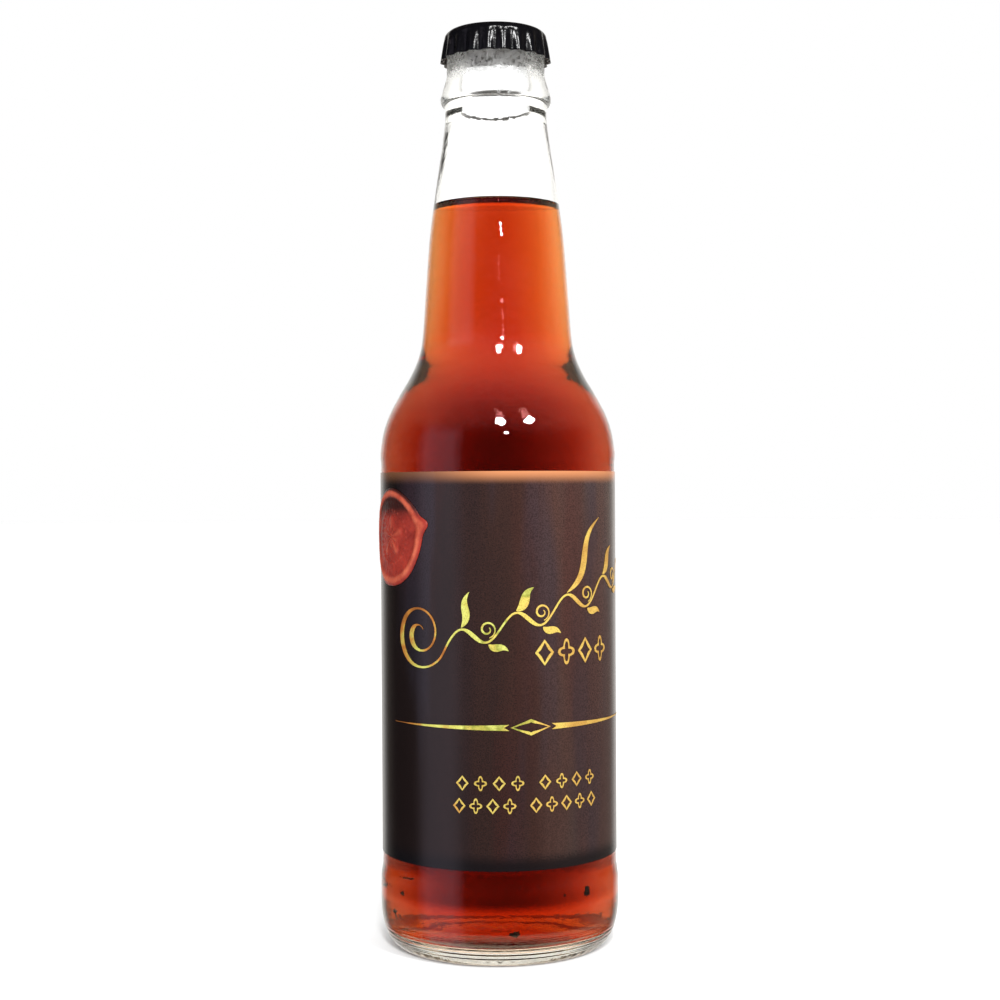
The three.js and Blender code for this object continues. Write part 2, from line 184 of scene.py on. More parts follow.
def turned(name, profile, sides, material, body, shape=None):
    """A turned piece. Its profile starts and ends on the axis; shape(angle, r, z) may move a point."""
    profile = without_repeats(profile)
    rows = profile[1:-1]
    points = [(0, 0, profile[0][1]), (0, 0, profile[-1][1])]
    for i in range(sides):
        angle = 2 * math.pi * i / sides
        for r, z in rows:
            if shape:
                r, z = shape(angle, r, z)
            points.append(around(angle, r, z))
    return make_mesh(name, points, column_faces(sides, len(rows), flip=True), material, body)


def swept(name, sections, material, body, closed=False):
    """Joins equal rings of corners into a tube, closed on itself or capped."""
    corners = len(sections[0])
    points = [p for section in sections for p in section]
    faces = []
    spans = len(sections) if closed else len(sections) - 1
    for i in range(spans):
        a = i * corners
        b = (i + 1) % len(sections) * corners
        for c in range(corners):
            d = (c + 1) % corners
            faces.append((a + c, a + d, b + d, b + c))
    if not closed:
        last = (len(sections) - 1) * corners
        faces.append(tuple(reversed(range(corners))))
        faces.append(tuple(last + c for c in range(corners)))
    return make_mesh(name, points, faces, material, body)


# ---- Node helpers -----------------------------------------------------------------------
class Nodes:
    """Short hands for building one node tree."""

    def __init__(self, tree):
        self.tree = tree
        tree.nodes.clear()

    def add(self, kind, **inputs):
        node = self.tree.nodes.new(kind)
        for key, value in inputs.items():
            self.set(node, key.replace("_", " "), value)
        return node

    def set(self, node, key, value):
        socket = node.inputs[int(key)] if key.isdigit() else node.inputs[key]
        if isinstance(value, bpy.types.NodeSocket):
            self.tree.links.new(value, socket)
        else:
            socket.default_value = value

    def math(self, operation, a, b=0.0):
        node = self.tree.nodes.new("ShaderNodeMath")
        node.operation = operation
        self.set(node, "0", a)
        self.set(node, "1", b)
        return node.outputs[0]

    def mix(self, factor, a, b):
        node = self.tree.nodes.new("ShaderNodeMix")
        node.data_type = "RGBA"
        for index, value in ((0, factor), (6, a), (7, b)):
            self.set(node, str(index), value)
        return node.outputs[2]

    def ramp(self, factor, stops):
        node = self.tree.nodes.new("ShaderNodeValToRGB")
        elements = node.color_ramp.elements
        while len(elements) < len(stops):
            elements.new(0.5)
        for element, (position, colour) in zip(elements, stops):
            element.position = position
            element.color = (*colour, 1)
        self.set(node, "0", factor)
        return node.outputs[0]

    def noise(self, scale, detail=2.0, roughness=0.5, vector=None):
        node = self.add("ShaderNodeTexNoise", Scale=scale, Detail=detail, Roughness=roughness)
        self.set(node, "Vector", vector if vector else self.place())
        return node.outputs[0]

    def place(self):
        return self.add("ShaderNodeTexCoord").outputs["Object"]

    def xyz(self, vector):
        return self.add("ShaderNodeSeparateXYZ", Vector=vector).outputs

    def scaled(self, vector, gain):
        node = self.add("ShaderNodeVectorMath", Vector=vector)
        node.operation = "SCALE"
        node.inputs["Scale"].default_value = gain
        return node.outputs[0]

    def times(self, *factors):
        """Colours or vectors multiplied together."""
        product = factors[0]
        for factor in factors[1:]:
            node = self.tree.nodes.new("ShaderNodeVectorMath")
            node.operation = "MULTIPLY"
            self.set(node, "0", product)
            self.set(node, "1", factor)
            product = node.outputs[0]
        return product

    def band(self, value, start, end):
        """0 at start, 1 at end, smooth between."""
        node = self.add("ShaderNodeMapRange")
        node.interpolation_type = "SMOOTHSTEP"
        for index, number in enumerate((value, start, end, 0.0, 1.0)):
            self.set(node, str(index), number)
        return node.outputs[0]

    def toward(self, tone, colour, share, most=1.0):
        """Moves a tone towards a 0-255 screen colour, by most of the way where share is 1."""
        return self.mix(self.math("MULTIPLY", share, most), tone, (*rgb(*colour), 1))

    def azimuth_share(self, x, y):
        """The azimuth from the bottle's front towards +X, as a share of a turn: 0.5 at the front."""
        turn = self.math("ARCTAN2", x, self.math("MULTIPLY", y, -1.0))
        return self.math("ADD", self.math("MULTIPLY", turn, 1 / (2 * math.pi)), 0.5)

    def azimuth_ramp(self, share, stops):
        """A ramp whose stops are given at azimuths in degrees, over what azimuth_share made."""
        return self.ramp(share, [(azimuth / 360 + 0.5, colour) for azimuth, colour in stops])

    def bump(self, height, strength, distance):
        return self.add("ShaderNodeBump", Height=height, Strength=strength, Distance=distance).outputs[0]


def material(name):
    made = bpy.data.materials.new(name)
    made.use_nodes = True
    nodes = Nodes(made.node_tree)
    shader = nodes.add("ShaderNodeBsdfPrincipled")
    output = nodes.add("ShaderNodeOutputMaterial", Surface=shader.outputs[0])
    return made, nodes, shader, output


def absorb(nodes, output, colour, density):
    volume = nodes.add("ShaderNodeVolumeAbsorption", Color=(*colour, 1), Density=density)
    nodes.set(output, "Volume", volume.outputs[0])


def rgb(red, green, blue):
    """A colour given as 0-255 screen values, as linear light."""
    def linear(v):
        v /= 255
        return v / 12.92 if v <= 0.04045 else ((v + 0.055) / 1.055) ** 2.4
    return (linear(red), linear(green), linear(blue))


# ---- Materials --------------------------------------------------------------------------
GLASS_TINT, GLASS_DENSITY = (0.8, 0.9, 0.75), 6.0
MIST_START, MIST_FULL = 219.5, 225.5      # heights between which the mist under the crown sets in


def clear_glass():
    """Slightly rippled clear glass, with a mist of droplets under the crown."""
    made, nodes, shader, output = material("clear_glass")
    shader.inputs["Base Color"].default_value = (1, 1, 1, 1)
    shader.inputs["IOR"].default_value = 1.52
    shader.inputs["Transmission Weight"].default_value = 1.0
    z = nodes.xyz(nodes.place())["Z"]
    under_crown = nodes.band(z, MIST_START * M, MIST_FULL * M)
    droplets = nodes.noise(1300, detail=3)
    nodes.set(shader, "Roughness", nodes.math("MULTIPLY", under_crown, nodes.band(droplets, 0.3, 0.75)))
    pebble = nodes.math("MULTIPLY", nodes.noise(430, detail=2), 0.7)
    ripple = nodes.math("ADD", nodes.noise(90, detail=1), pebble)
    mist = nodes.math("MULTIPLY", nodes.math("MULTIPLY", droplets, under_crown), 1.6)
    nodes.set(shader, "Normal", nodes.bump(nodes.math("ADD", ripple, mist), 0.25, 0.0002))
    absorb(nodes, output, GLASS_TINT, GLASS_DENSITY)
    return made


# Tints of the soda by how far its surface turns away from the eye, 0 where it is looked straight
# through. Each list has one colour per stop.
FACING_STOPS = (0, 0.016, 0.065, 0.15, 0.29)
AMBER = [(0.7, 0.22, 0.25), (0.76, 0.27, 0.28), (0.84, 0.4, 0.34), (0.93, 0.6, 0.42), (1, 0.85, 0.5)]
# Painted shade over the body, darkest where it is looked straight through.
BODY_SHADE_TINTS = [(0.16, 0.14, 0.14), (0.24, 0.22, 0.22), (0.4, 0.36, 0.36), (0.66, 0.62, 0.62), (0.9, 0.88, 0.88)]
# Painted shade in a band above the floor.
LOW_SHADE_TINTS = [(0.1, 0.1, 0.1), (0.14, 0.13, 0.13), (0.26, 0.24, 0.24), (0.48, 0.44, 0.44), (0.85, 0.82, 0.82)]
# Painted light: a paler amber near the floor, where light comes in through the base.
FLOOR_LIGHT_TINT = (0.88, 0.68, 0.5, 1)
SODA_TINT, SODA_DENSITY = (0.9, 0.53, 0.03), 160.0

# Heights, in millimetres, over which each tint sets in: none of it at the first, all at the second.
# The first two fades set in painted shade, the third keeps that shade off the bottom of the soda, and the
# last sets in painted light near the floor.
BODY_SHADE_FADE = (152, 127)
LOW_SHADE_FADE = (24.8, 22.2)
OFF_FLOOR_FADE = (12.8, 15.8)
FLOOR_LIGHT_FADE = (15.5, 12)


def soda_liquid():
    """Red-brown soda, tinted darker where it is looked straight through, with painted shade over the body and
    in a band above the floor, and painted light near the floor.
    """
    made, nodes, shader, output = material("soda_liquid")
    z = nodes.xyz(nodes.place())["Z"]
    facing = nodes.add("ShaderNodeLayerWeight", Blend=0.5).outputs["Facing"]
    amber, shade_tone, low_shade = (
        nodes.ramp(facing, list(zip(FACING_STOPS, tints))) for tints in (AMBER, BODY_SHADE_TINTS, LOW_SHADE_TINTS)
    )

    def fade(heights):
        return nodes.band(z, heights[0] * M, heights[1] * M)

    off_floor = fade(OFF_FLOOR_FADE)
    clear = (1, 1, 1, 1)
    # Amber, paled near the floor by painted light, and darkened by painted shade over the body and in a band
    # above the floor.
    nodes.set(shader, "Base Color", nodes.times(
        nodes.mix(fade(FLOOR_LIGHT_FADE), amber, FLOOR_LIGHT_TINT),
        nodes.mix(nodes.math("MULTIPLY", fade(BODY_SHADE_FADE), off_floor), clear, shade_tone),
        nodes.mix(nodes.math("MULTIPLY", fade(LOW_SHADE_FADE), off_floor), clear, low_shade),
    ))
    shader.inputs["Roughness"].default_value = 0.0
    shader.inputs["IOR"].default_value = 1.34
    shader.inputs["Specular Tint"].default_value = (0, 0, 0, 1)
    shader.inputs["Transmission Weight"].default_value = 1.0
    absorb(nodes, output, SODA_TINT, SODA_DENSITY)
    return made


def black_enamel():
    """Gloss black outside. The inside of the sheet is bare grey."""
    made, nodes, shader, _ = material("crown_enamel")
    x, y, _ = nodes.xyz(nodes.place())
    normal_x, normal_y, normal_z = nodes.xyz(nodes.add("ShaderNodeNewGeometry").outputs["Normal"])
    outward = nodes.math("ADD", nodes.math("MULTIPLY", x, normal_x), nodes.math("MULTIPLY", y, normal_y))
    facing = nodes.math("ADD", outward, nodes.math("MULTIPLY", normal_z, 0.004))
    is_inside = nodes.math("LESS_THAN", facing, 0.0)
    worn = nodes.band(nodes.noise(900, detail=4), 0.62, 0.72)
    colour = nodes.mix(worn, (*rgb(7, 7, 10), 1), (*rgb(26, 23, 25), 1))
    bare = nodes.ramp(nodes.noise(800, detail=3), [(0.35, rgb(52, 48, 46)), (0.65, rgb(98, 92, 88))])
    nodes.set(shader, "Base Color", nodes.mix(is_inside, colour, bare))
    rough = nodes.math("ADD", nodes.math("MULTIPLY", nodes.noise(2500, detail=3), 0.16), 0.1)
    nodes.set(shader, "Roughness", rough)
    shader.inputs["IOR"].default_value = 1.5
    shader.inputs["Specular IOR Level"].default_value = 0.22
    nodes.set(shader, "Normal", nodes.bump(nodes.noise(420, detail=3), 0.35, 0.0004))
    return made


def liner_plastic():
    made, nodes, shader, _ = material("liner_plastic")
    mottle = nodes.noise(600, detail=3)
    nodes.set(shader, "Base Color", nodes.ramp(mottle, [(0.3, rgb(104, 100, 98)), (0.7, rgb(142, 138, 134))]))
    shader.inputs["Roughness"].default_value = 0.5
    nodes.set(shader, "Normal", nodes.bump(mottle, 0.3, 0.0001))
    return made


# The print's colour round the label, in 0-255 screen values, by azimuth in degrees, with painted shade making
# it near black on the left and a painted sheen making it lighter and greyer on the right.
PRINT_AND_LIGHT_STOPS = [
    (-180, (52, 34, 30)), (-110, (26, 16, 15)), (-70, (18, 11, 11)), (-45, (22, 14, 13)), (-30, (32, 22, 21)),
    (-15, (42, 29, 29)), (0, (50, 32, 28)), (15, (60, 37, 31)), (27, (72, 49, 43)), (42, (68, 53, 49)),
    (55, (78, 63, 58)), (75, (88, 76, 70)), (120, (66, 48, 42)), (180, (52, 34, 30)),
]
STREAK_SQUASH = (1, 1, 0.12)      # noise read in this stretched space runs in upright streaks


def print_tone(nodes, place):
    """Black-brown print, with painted shade that darkens it to near black on the left and a painted sheen
    that turns it lighter and greyer on the right.
    """
    x, y, _ = nodes.xyz(place)
    share = nodes.azimuth_share(x, y)
    stretched = nodes.add("ShaderNodeMapping", Vector=place)
    stretched.inputs["Scale"].default_value = STREAK_SQUASH

    def streaks(scale):
        return nodes.noise(scale, detail=3, vector=stretched.outputs[0])

    drift = nodes.math("MULTIPLY", nodes.math("SUBTRACT", streaks(140), 0.5), 0.09)
    stops = [(azimuth, rgb(*colour)) for azimuth, colour in PRINT_AND_LIGHT_STOPS]
    tone = nodes.azimuth_ramp(nodes.math("ADD", share, drift), stops)
    tone = nodes.toward(tone, (66, 27, 24), nodes.band(streaks(55), 0.5, 0.68), 0.4)
    return nodes.toward(tone, (40, 40, 52), nodes.band(streaks(70), 0.52, 0.66), 0.4)


def label_print():
    """The print, with a painted pale copper sheen along the top edge that grows to the right, and a dark
    foot.
    """
    made, nodes, shader, _ = material("label_print")
    place = nodes.place()
    x, _, z = nodes.xyz(place)
    grain = nodes.noise(3200, detail=2, roughness=0.7)
    lower = nodes.band(z, LABEL_TOP * M, LABEL_BOTTOM * M)
    top_edge_sheen = nodes.band(z, (LABEL_TOP - 3.4) * M, (LABEL_TOP + 0.3) * M)
    sheen_to_right = nodes.math("ADD", nodes.math("MULTIPLY", nodes.band(x, -22 * M, 2 * M), 0.62), 0.22)
    foot = nodes.band(z, (LABEL_BOTTOM + 5) * M, (LABEL_BOTTOM + 1) * M)
    body = nodes.toward(print_tone(nodes, place), (20, 14, 14), nodes.band(grain, 0.4, 0.62), 0.5)
    body = nodes.toward(body, (20, 12, 12), lower, 0.3)
    # Painted sheen: a pale copper glow along the top edge, stronger to the right.
    body = nodes.toward(body, (196, 128, 84), top_edge_sheen, sheen_to_right)
    body = nodes.toward(body, (12, 11, 14), foot, 0.85)
    nodes.set(shader, "Base Color", body)
    shader.inputs["IOR"].default_value = 1.46
    nodes.set(shader, "Roughness", nodes.math("ADD", nodes.math("MULTIPLY", grain, 0.14), 0.14))
    nodes.set(shader, "Normal", nodes.bump(grain, 0.08, 0.0001))
    return made


# The foil's gold with a painted reflection across the label, copper on the left through green to yellow on
# the right, in 0-255 screen values, by share of FOIL_SPAN_M from the left.
FOIL_SPAN_M = 0.056
FOIL_AND_REFLECTION_STOPS = [
    (0.0, (150, 88, 32)), (0.14, (196, 128, 52)), (0.28, (206, 204, 96)), (0.4, (222, 224, 118)),
    (0.5, (160, 164, 66)), (0.62, (230, 208, 100)), (0.8, (232, 194, 96)), (1.0, (206, 158, 76)),
]


def gold_foil():
    """Gold foil with a painted reflection that turns it from copper on the left through green to yellow gold
    on the right.
    """
    made, nodes, shader, _ = material("gold_foil")
    x, _, z = nodes.xyz(nodes.place())
    drift = nodes.math("MULTIPLY", nodes.math("SUBTRACT", nodes.noise(150, detail=3), 0.5), 1.1)
    share = nodes.math("ADD", nodes.math("ADD", nodes.math("MULTIPLY", x, 1 / FOIL_SPAN_M), 0.5), drift)
    colour = nodes.ramp(share, [(position, rgb(*tone)) for position, tone in FOIL_AND_REFLECTION_STOPS])
    colour = nodes.toward(colour, (214, 170, 84), nodes.band(z, 56 * M, 50 * M), 0.6)
    glitter = nodes.noise(4200, detail=1)
    colour = nodes.toward(colour, (104, 76, 32), nodes.band(glitter, 0.45, 0.7), 0.45)
    nodes.set(shader, "Base Color", colour)
    shader.inputs["Metallic"].default_value = 0.35
    shader.inputs["Roughness"].default_value = 0.34
    nodes.set(shader, "Normal", nodes.bump(glitter, 0.25, 0.0001))
    return made


def seal_wax():
    """Red wax in lit and shaded copies: painted paler where it stands high as a painted highlight, darker in
    the sunk face as painted shade, with a painted shadow across the top of the sunk face under the rim.
    """
    made, nodes, shader, _ = material("seal_wax")
    x, y, z = nodes.xyz(nodes.place())
    reach = nodes.math("SQRT", nodes.math("ADD", nodes.math("MULTIPLY", x, x), nodes.math("MULTIPLY", y, y)))
    height = nodes.band(reach, (SEAL_FOOT_R + 0.15) * M, (SEAL_FOOT_R + 0.52) * M)
    clouds = nodes.noise(260, detail=4, roughness=0.6)
    # The sunk wax and the raised wax are shaded and lit copies of one red: painted shade low, painted
    # highlight high.
    shade_tone = nodes.ramp(clouds, [(0.35, rgb(118, 24, 13)), (0.65, rgb(150, 40, 24))])
    high = nodes.ramp(clouds, [(0.35, rgb(156, 56, 34)), (0.65, rgb(184, 88, 60))])
    # Painted shadow: the top of the sunk face goes near black, as if shaded by the rim above it.
    rim_shadow_band = nodes.band(z, (SEAL_Z + 4.4) * M, (SEAL_Z + 7.6) * M)
    painted_rim_shadow = nodes.math("MULTIPLY", rim_shadow_band, nodes.math("SUBTRACT", 1.0, height))
    shade_tone = nodes.toward(shade_tone, (26, 10, 8), painted_rim_shadow, 0.88)
    nodes.set(shader, "Base Color", nodes.mix(height, shade_tone, high))
    shader.inputs["Roughness"].default_value = 0.42
    shader.inputs["IOR"].default_value = 1.44
    nodes.set(shader, "Normal", nodes.bump(nodes.noise(1300, detail=4), 0.6, 0.0003))
    return made


def pale_floor():
    made, nodes, shader, _ = material("pale_floor")
    tone = nodes.ramp(nodes.noise(3, detail=2), [(0.3, (0.94, 0.94, 0.94)), (0.7, (0.97, 0.97, 0.97))])
    nodes.set(shader, "Base Color", tone)
    shader.inputs["Roughness"].default_value = 0.8
    shader.inputs["Specular IOR Level"].default_value = 0.1
    return made


# ---- Glass bottle -----------------------------------------------------------------------
def outer_profile():
    heel_w = HEEL_R - BEARING_OUT_R
    rows = [(0, PUNT_H)]
    rows += spline([(0.5, PUNT_H), (12, PUNT_H * 0.85), (20, 1.0), (BEARING_IN_R, 0)], 8)
    rows += straight((BEARING_IN_R, 0), (BEARING_OUT_R, 0), 4)
    rows += arc((BEARING_OUT_R, HEEL_H), (heel_w, HEEL_H), -90, 0, 90)
    rows += straight((HEEL_R, HEEL_H), (HEEL_R, HEEL_BAND_TOP), 3)
    rows += eased((HEEL_R, HEEL_BAND_TOP), (PANEL_R, PANEL_BOTTOM), 8)
    rows += straight((PANEL_R, PANEL_BOTTOM), (PANEL_R, PANEL_TOP), 20)
    rows += eased((PANEL_R, PANEL_TOP), (SHOULDER_R, SHOULDER_Z), 5)
    rows += spline(SHOULDER_POINTS, 9)
    rows += spline(BEAD_POINTS, 7)
    rows += straight((COVE_R, COVE_BOTTOM), (COVE_R, COVE_TOP), 3)
    rows += eased((COVE_R, COVE_TOP), (LOCK_RING_R, LOCK_RING_Z), 5)
    lip_w, lip_h = LOCK_RING_R - LIP_FLAT_OUT_R, LIP_TOP - LIP_START_Z
    rows += arc((LIP_FLAT_OUT_R, LIP_START_Z), (lip_w, lip_h), 0, 90, 10)
    rows += arc((LIP_FLAT_IN_R, LIP_TOP - LIP_IN_ROUND), (LIP_FLAT_IN_R - BORE_R, LIP_IN_ROUND), 90, 180, 8)
    return rows


def inner_profile():
    rows = spline(INNER_POINTS, 9)
    rows += straight((INNER_R, INNER_WALL_TOP), (INNER_R, FLOOR_CORNER_TOP), 24)
    width = INNER_R - FLOOR_CORNER_R
    rows += arc((FLOOR_CORNER_R, FLOOR_CORNER_TOP), (width, FLOOR_CORNER_TOP - FLOOR_LOW), 0, -90, 12)
    rows += spline([(FLOOR_CORNER_R, FLOOR_LOW), (12, FLOOR_CENTRE - 0.5), (0.5, FLOOR_CENTRE)], 6)
    return rows + [(0, FLOOR_CENTRE)]


def inner_wave(angle, r, z):
    """Blown glass isn't even inside: a slow wave of a tenth of a millimetre or two."""
    calm = min(1.0, max(0.0, (r - 4) / 8))
    wave = 0.10 * math.sin(2 * angle + z / 19) + 0.06 * math.sin(5 * angle - z / 8 + 1)
    wave += 0.05 * math.sin(3 * angle + z / 5)
    return r + wave * calm


RIDGE_PITCH, RIDGE_HIGH, RIDGE_DEPTH = 1.25, 6.4, 0.13
KNURLS, KNURL_TOP, KNURL_DEPTH = 60, 2.0, 0.2


def base_relief(angle, r, z):
    """The ring of small knurls that the bottle stands on, and the ridges round the heel above it."""
    if r < BEARING_OUT_R or z > RIDGE_HIGH:
        return r, z
    if z < KNURL_TOP:
        ring = math.sin(math.pi * z / KNURL_TOP)
        return r - KNURL_DEPTH * ring * (0.5 - 0.5 * math.cos(KNURLS * angle)), z
    share = (z - KNURL_TOP) / (RIDGE_HIGH - KNURL_TOP)
    fade = min(1.0, 8 * share, 4 * (1 - share))
    return r - RIDGE_DEPTH * fade * (0.5 + 0.5 * math.cos(2 * math.pi * z / RIDGE_PITCH)), z


def glass_bottle(glass):
    outer, inner = outer_profile(), inner_profile()
    inner_rows = {(round(r, 4), round(z, 4)) for r, z in inner}

    def shape(angle, r, z):
        if (round(r, 4), round(z, 4)) in inner_rows:
            return inner_wave(angle, r, z), z
        return base_relief(angle, r, z)

    piece = turned("glass_body", outer + inner, BOTTLE_SIDES, glass, "bottle", shape)
    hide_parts("glass_bottle")


# ---- Soda -------------------------------------------------------------------------------
SODA_BITE = 0.05        # the soda reaches a hair into the glass, so no air shows between them
MENISCUS_H = 2.2
MENISCUS_W = 2.0        # the climb falls to 1/e of its height over this distance
MENISCUS_REACH, MENISCUS_STEPS = 9, 14


def soda(liquid):
    wall = [(r + SODA_BITE, z) for r, z in inner_profile() if z < FILL_Z]
    shell = [(r, z - SODA_BITE if r < FLOOR_CORNER_R else z) for r, z in wall]
    rim_r = shell[0][0]
    level = FILL_Z - MENISCUS_H
    surface = []
    for i in range(MENISCUS_STEPS + 1):
        inward = MENISCUS_REACH * (i / MENISCUS_STEPS) ** 2.2
        surface.append((rim_r - inward, level + MENISCUS_H * math.exp(-inward / MENISCUS_W)))
    rows = list(reversed(shell)) + surface + [(0, level)]
    rows[0] = (0, rows[0][1])

    def shape(angle, r, z):
        return inner_wave(angle, r, z), z

    piece = turned("soda_fill", rows, BOTTLE_SIDES, liquid, "bottle", shape)
    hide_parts("soda")


# Flecks of sediment near the front wall: [azimuth, height, size, width over height].
FLECKS = [
    (50, 16.4, 1.2, 1.0), (34.5, 16.6, 0.45, 0.5), (7.5, 8.4, 0.85, 1.9), (-58, 15.4, 0.6, 1.4),
    (-66, 10.2, 0.75, 1.2),
    (140, 13, 0.8, 1.2), (-150, 10, 0.7, 1.5), (96, 11, 0.9, 1.1), (-108, 15, 0.8, 1.0),
]
FLECK_DEPTH, FLECK_INSET = 0.55, 0.9
FLECK_ROWS, FLECK_COLUMNS = 9, 14


def sediment():
    """Small clots of settled matter in the soda, each a lumpy closed ball flattened against the wall."""
    made, nodes, shader, _ = material("sediment")
    tone = nodes.noise(1800, detail=3)
    nodes.set(shader, "Base Color", nodes.ramp(tone, [(0.35, rgb(22, 6, 6)), (0.65, rgb(52, 14, 12))]))
    shader.inputs["Roughness"].default_value = 0.7
    points, faces = [], []
    wall_r = INNER_R - FLECK_INSET
    for index, (azimuth, height, size, stretch) in enumerate(FLECKS):
        start = len(points)
        for i in range(FLECK_ROWS):
            polar = math.pi * (i + 0.5) / FLECK_ROWS
            for k in range(FLECK_COLUMNS):
                turn = 2 * math.pi * k / FLECK_COLUMNS
                flat = math.sin(polar)
                way = Vector((flat * math.cos(turn), flat * math.sin(turn), math.cos(polar)))
                lump = 0.72 + 0.75 * noise.noise(way * 1.7 + Vector((index * 5.3, 0, 0)))
                across, up = way.x * size * stretch * lump, way.y * size * lump
                r = wall_r - way.z * FLECK_DEPTH * lump
                points.append(around(math.radians(azimuth) + across / r, r, height + up))
        for i in range(FLECK_ROWS - 1):
            for k in range(FLECK_COLUMNS):
                a = start + i * FLECK_COLUMNS + k
                b = start + i * FLECK_COLUMNS + (k + 1) % FLECK_COLUMNS
                faces.append((a, b, b + FLECK_COLUMNS, a + FLECK_COLUMNS))
        faces.append(tuple(start + k for k in reversed(range(FLECK_COLUMNS))))
        faces.append(tuple(start + (FLECK_ROWS - 1) * FLECK_COLUMNS + k for k in range(FLECK_COLUMNS)))
    make_mesh("soda_sediment", points, faces, made, "bottle")


# ---- Crown cap --------------------------------------------------------------------------
FLUTES = 21
FLUTE_DEPTH = 0.85
CROWN_SHEET = 0.24
CORNER_R = 2.2
CORNER_START = 11.2
CORNER_FLUTE = 0.28     # share of the flutes' depth that they have reached at the corner's foot
FLUTE_SIDES, BEND_ROWS, SKIRT_ROWS = 14, 9, 18


def crown_rows(inset):
    """[radius, height, share of the flute's depth] from the top's middle to the skirt's edge."""
    corner_z = CROWN_TOP - CORNER_R
    flat = [(CORNER_START * k / 5, CROWN_TOP - inset) for k in range(1, 5)]
    bend = arc((CORNER_START, corner_z), (CORNER_R - inset, CORNER_R - inset), 90, 0, BEND_ROWS)
    rows = [(r, z, 0.0) for r, z in flat]
    rows += [(r, z, CORNER_FLUTE * (i / BEND_ROWS) ** 3) for i, (r, z) in enumerate(bend)]
    drop = corner_z - CROWN_EDGE
    flare = CROWN_R - CORNER_START - CORNER_R
    for i in range(1, SKIRT_ROWS + 1):
        t = i / SKIRT_ROWS
        r = CORNER_START + CORNER_R - inset + flare * t ** 0.75
        rows.append((r, corner_z - drop * t, CORNER_FLUTE + (1 - CORNER_FLUTE) * t ** 0.7))
    return rows


def flute(angle, depth):
    """How far the sheet dips at an angle. The grooves are rounder and narrower than the ridges."""
    wave = 0.5 + 0.5 * math.cos(FLUTES * angle)
    return -FLUTE_DEPTH * depth * wave ** 1.35


def crown(enamel):
    outside = crown_rows(0)
    inside = crown_rows(CROWN_SHEET)
    edge_r, edge_z, depth = outside[-1]
    lip = [(edge_r - CROWN_SHEET / 2, edge_z - 0.02, depth)]
    rows = outside + lip + list(reversed(inside))
    sides = FLUTES * FLUTE_SIDES
    points = [(0, 0, CROWN_TOP), (0, 0, CROWN_TOP - CROWN_SHEET)]
    for i in range(sides):
        angle = 2 * math.pi * i / sides
        points += [around(angle, r + flute(angle, d), z) for r, z, d in rows]
    piece = make_mesh("crown_cap", points, column_faces(sides, len(rows)), enamel, "crown")
    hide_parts("crown_shell")


LINER_RECESS, LINER_RECESS_R, LINER_RING_IN_R = 0.5, 8.4, 9.4
LINER_SIDES = 96


def crown_liner(plastic):
    """A disc with a recess in its middle and the sealing ring round it."""
    r = LINER_HIGH.x
    low, high = LINER_LOW.z, LINER_HIGH.z
    rows = [(0, low + LINER_RECESS)]
    rows += eased((LINER_RECESS_R, low + LINER_RECESS), (LINER_RING_IN_R, low), 5)
    rows += [(r - 0.3, low), (r, low + 0.2), (r - 1.2, high - 0.25), (r - 2.2, high), (0, high)]
    piece = turned("crown_seal_disc", rows, LINER_SIDES, plastic, "crown")
    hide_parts("crown_liner")


# ---- Label ------------------------------------------------------------------------------
LABEL_SIDES = 288
LABEL_THICKNESS = 0.1
LABEL_IN_R = LABEL_OUT_R - LABEL_THICKNESS
LAP_SIDES = 6                                # how far the label's end laps over its start
CLIMB, CLIMB_SIDES, CLIMB_LEAD = 0.14, 6, 9  # its rise over the start, and where it begins to rise


def wrap_label(print_film):
    """A strip of film wound once round the bottle, with its end lapped over its start at the back."""
    sections = []
    for i in range(LABEL_SIDES + LAP_SIDES + 1):
        climbed = min(1.0, max(0.0, (i - (LABEL_SIDES - CLIMB_LEAD)) / CLIMB_SIDES))
        inner = LABEL_IN_R + CLIMB * climbed
        outer = inner + LABEL_THICKNESS
        angle = -math.pi + 2 * math.pi * i / LABEL_SIDES
        sections.append([
            around(angle, outer, LABEL_TOP), around(angle, outer, LABEL_BOTTOM),
            around(angle, inner, LABEL_BOTTOM), around(angle, inner, LABEL_TOP),
        ])
    piece = swept("label_film", sections, print_film, "bottle")
    sharpen(piece)
    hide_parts("wrap_label")


def sharpen(piece):
    """Shades a piece flat across its sharp edges."""
    piece.data.set_sharp_from_angle(angle=math.radians(35))


# ---- Gold foil --------------------------------------------------------------------------
def on_art(along, z, lift=0.0):
    return around(ART_CENTRE + along / FOIL_R, FOIL_R + lift, z)


def foil_piece(name, sections, foil, closed=False):
    piece = swept(name + "_stamp", sections, foil, "bottle", closed)
    sharpen(piece)
    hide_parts(name)


NOTCH_SECTIONS = 4


def run_at(line, i):
    """The direction in which a line of points runs at one of them."""
    return (Vector(line[min(len(line) - 1, i + 1)]) - Vector(line[max(0, i - 1)])).normalized()


def foil_strip(name, line, widths, foil, notch=0.0):
    """A stamped stroke: flat underneath, slightly crowned on top, with a notch in its first end if wanted."""
    sections = []
    for i, p in enumerate(line):
        run = run_at(line, i)
        across = Vector((-run.y, run.x))
        section = []
        cut = run * notch * max(0.0, 1 - i / NOTCH_SECTIONS)
        for share, lift in ((-1, 0), (0, 0), (1, 0), (1, 0.7), (0, 1.0), (-1, 0.7)):
            spot = Vector(p) + across * (share * widths[i] / 2) + cut * (1 - abs(share))
            section.append(on_art(spot.x, spot.y, lift * FOIL_THICKNESS))
        sections.append(section)
    foil_piece(name, sections, foil)


TAPER_POINTS = 22


